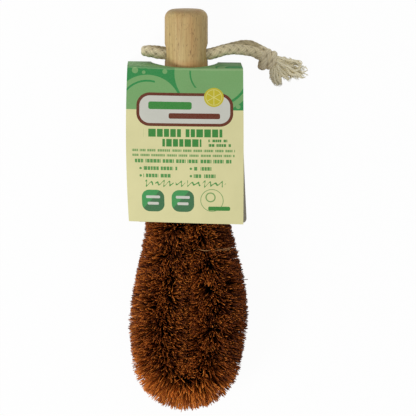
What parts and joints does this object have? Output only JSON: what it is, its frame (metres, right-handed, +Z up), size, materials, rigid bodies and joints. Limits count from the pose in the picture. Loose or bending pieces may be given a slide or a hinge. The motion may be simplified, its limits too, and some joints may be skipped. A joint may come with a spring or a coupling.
{
  "type": "dish brush",
  "caption": "Fibre dish brush: wooden dowel handle, bristles held in a twisted wire bent into a U, a knotted hanging cord through the handle, and a folded card sleeve that slides on the handle.",
  "frame": {"origin": "on the table under the middle of the brush, without its cord; the brush lies on its back", "axes": "+Z up out of the front of the card sleeve, +Y along the handle to its free end, +X to the right as seen from above"},
  "size_m": [0.1062, 0.2373, 0.04],
  "materials": {
    "handle_wood": "bare sanded hardwood with fine dark pores",
    "galvanised_wire": "dull galvanised wire",
    "coir_bristle": "stiff brown coconut fibre",
    "cotton_cord": "unbleached braided cotton",
    "printed_card": "uncoated card with a matt print outside, grey-brown inside"
  },
  "bodies": {
    "brush": {"handle": "handle_wood", "twisted_wire_a": "galvanised_wire", "twisted_wire_b": "galvanised_wire", "bristle_section_1": "coir_bristle", "bristle_section_2": "coir_bristle", "bristle_section_3": "coir_bristle", "bristle_section_4": "coir_bristle", "bristle_section_5": "coir_bristle", "bristle_section_6": "coir_bristle", "bristle_section_7": "coir_bristle", "bristle_section_8": "coir_bristle", "bristle_section_9": "coir_bristle", "hanging_cord_right": "cotton_cord", "hanging_cord_left": "cotton_cord", "cord_knot": "cotton_cord", "frayed_end_fan": "cotton_cord", "frayed_end_lock": "cotton_cord"},
    "sleeve_roof": {"sleeve_roof": "printed_card"},
    "sleeve_front": {"sleeve_front": "printed_card"},
    "sleeve_back": {"sleeve_back": "printed_card"}
  },
  "joints": [
    {"name": "sleeve_slide", "type": "slide", "parent": "brush", "child": "sleeve_roof", "axis": [0, -1, 0], "range_m": [0, 0.02]},
    {"name": "front_crease", "type": "hinge", "parent": "sleeve_roof", "child": "sleeve_front", "pos_m": [-0.0018, 0.08588, 0.03377], "axis": [-1, 0, 0], "range_deg": [0, 150]},
    {"name": "back_crease", "type": "hinge", "parent": "sleeve_roof", "child": "sleeve_back", "pos_m": [-0.0018, 0.08588, 0.00022], "axis": [1, 0, 0], "range_deg": [0, 150]}
  ]
}
